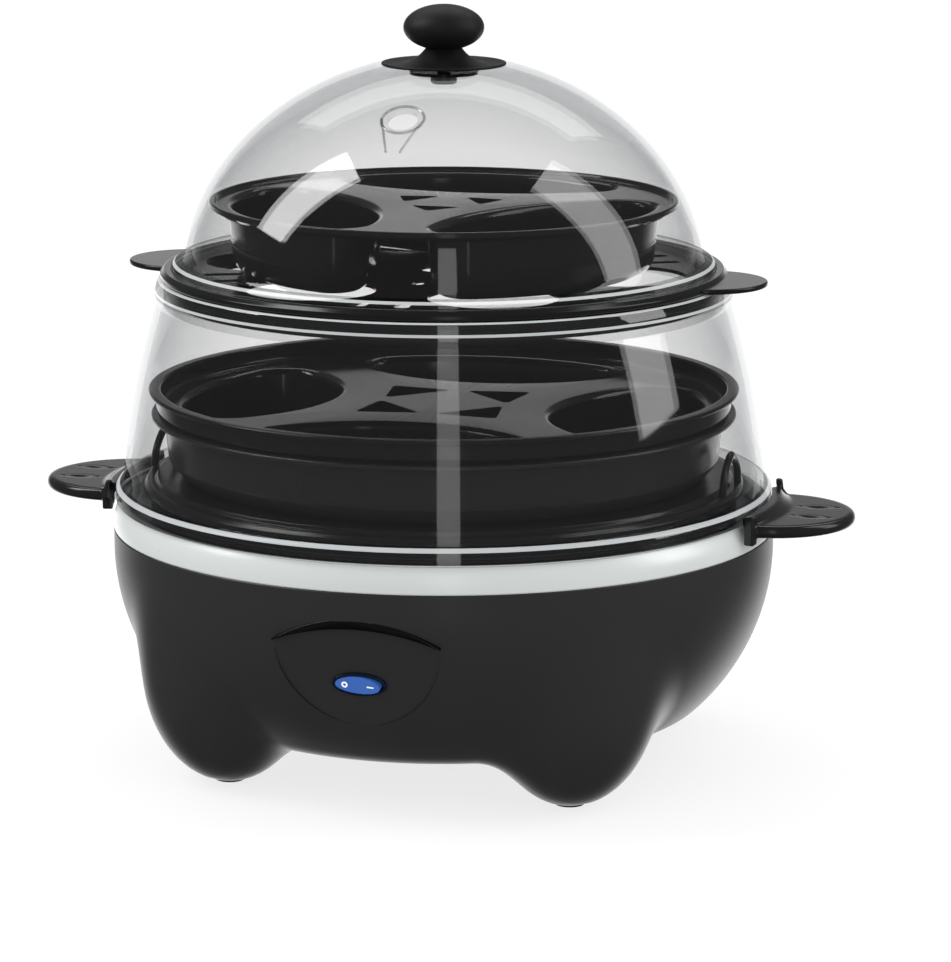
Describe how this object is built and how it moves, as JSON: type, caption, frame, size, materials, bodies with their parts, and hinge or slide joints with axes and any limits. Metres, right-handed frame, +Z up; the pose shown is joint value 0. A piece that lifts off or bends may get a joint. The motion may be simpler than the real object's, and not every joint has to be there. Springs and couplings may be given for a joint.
{
  "type": "two-tier egg cooker",
  "caption": "Round electric egg steamer: legged base with hot plate and rocker switch, stacked egg trays and poaching trays, clear ring dome and clear lid with ball knob",
  "frame": {"origin": "on the table under the middle of the base, at the bottom of the foot pads", "axes": "+Z up, switch panel toward -Y, side handles on +X and -X"},
  "size_m": [0.253, 0.2006, 0.2286],
  "materials": {
    "housing_black": "fine satin moulding",
    "cover_black": "matte",
    "pad_rubber": "matte",
    "screw_steel": "plain",
    "ring_metal": "bright satin",
    "plate_steel": "satin",
    "element_alloy": "cast",
    "shield_steel": "plated sheet",
    "electric_beige": "moulded",
    "fuse_white": "glazed",
    "buzzer_black": "moulded",
    "gland_rubber": "matte",
    "bezel_navy": "gloss",
    "switch_black": "moulded",
    "lamp_amber": "clear",
    "terminal_brass": "plain",
    "rocker_blue": "gloss, translucent",
    "mark_white": "inlaid",
    "tray_black": "gloss",
    "egg_tray_black": "satin gloss",
    "dome_clear": "clear",
    "handle_black": "gloss",
    "knob_black": "matte",
    "screw_bright": "plain"
  },
  "bodies": {
    "base": {"base_housing": "housing_black", "base_cover": "cover_black", "cover_screws": "screw_steel", "foot_pads": "pad_rubber", "trim_ring": "ring_metal", "heating_plate": "plate_steel", "plate_studs": "screw_steel", "stud_nuts": "screw_steel", "heating_element": "element_alloy", "heat_shield": "shield_steel", "shield_screws": "screw_steel", "thermostat": "electric_beige", "thermal_fuse": "fuse_white", "terminal_block": "electric_beige", "buzzer": "buzzer_black", "cord_gland": "gland_rubber", "switch_bezel": "bezel_navy", "switch_body": "switch_black", "switch_lamp": "lamp_amber", "switch_terminals": "terminal_brass", "rocker_pin": "screw_steel"},
    "rocker": {"switch_rocker": "rocker_blue", "rocker_marks": "mark_white"},
    "lower_tray": {"lower_egg_deck": "egg_tray_black", "lower_egg_rim": "egg_tray_black", "tray_loops": "egg_tray_black"},
    "bowl": {"omelet_bowl": "tray_black"},
    "lower_poacher": {"lower_poaching_deck": "tray_black", "lower_poaching_cups": "tray_black"},
    "lower_cover": {"lower_dome": "dome_clear", "side_handle_right": "handle_black", "side_handle_left": "handle_black"},
    "upper_tray": {"upper_egg_deck": "egg_tray_black", "upper_egg_rim": "egg_tray_black"},
    "upper_poacher": {"upper_poaching_deck": "tray_black", "upper_poaching_cups": "tray_black"},
    "lid": {"upper_dome": "dome_clear", "lid_knob": "knob_black", "knob_washer": "handle_black", "knob_screw": "screw_bright"}
  },
  "joints": [
    {"name": "rocker_tip", "type": "hinge", "parent": "base", "child": "rocker", "pos_m": [0, -0.0915, 0.04343], "axis": [0, -0.2669, 0.9637], "range_deg": [0, 12]},
    {"name": "lower_tray_lift", "type": "slide", "parent": "base", "child": "lower_tray", "axis": [0, 0, 1], "range_m": [0, 0.06]},
    {"name": "bowl_lift", "type": "slide", "parent": "lower_tray", "child": "bowl", "axis": [0, 0, 1], "range_m": [0, 0.06]},
    {"name": "lower_poacher_lift", "type": "slide", "parent": "bowl", "child": "lower_poacher", "axis": [0, 0, 1], "range_m": [0, 0.06]},
    {"name": "lower_dome_lift", "type": "slide", "parent": "lower_poacher", "child": "lower_cover", "axis": [0, 0, 1], "range_m": [0, 0.09]},
    {"name": "upper_tray_lift", "type": "slide", "parent": "lower_cover", "child": "upper_tray", "axis": [0, 0, 1], "range_m": [0, 0.06]},
    {"name": "upper_poacher_lift", "type": "slide", "parent": "upper_tray", "child": "upper_poacher", "axis": [0, 0, 1], "range_m": [0, 0.07]},
    {"name": "lid_lift", "type": "slide", "parent": "upper_poacher", "child": "lid", "axis": [0, 0, 1], "range_m": [0, 0.09]}
  ]
}
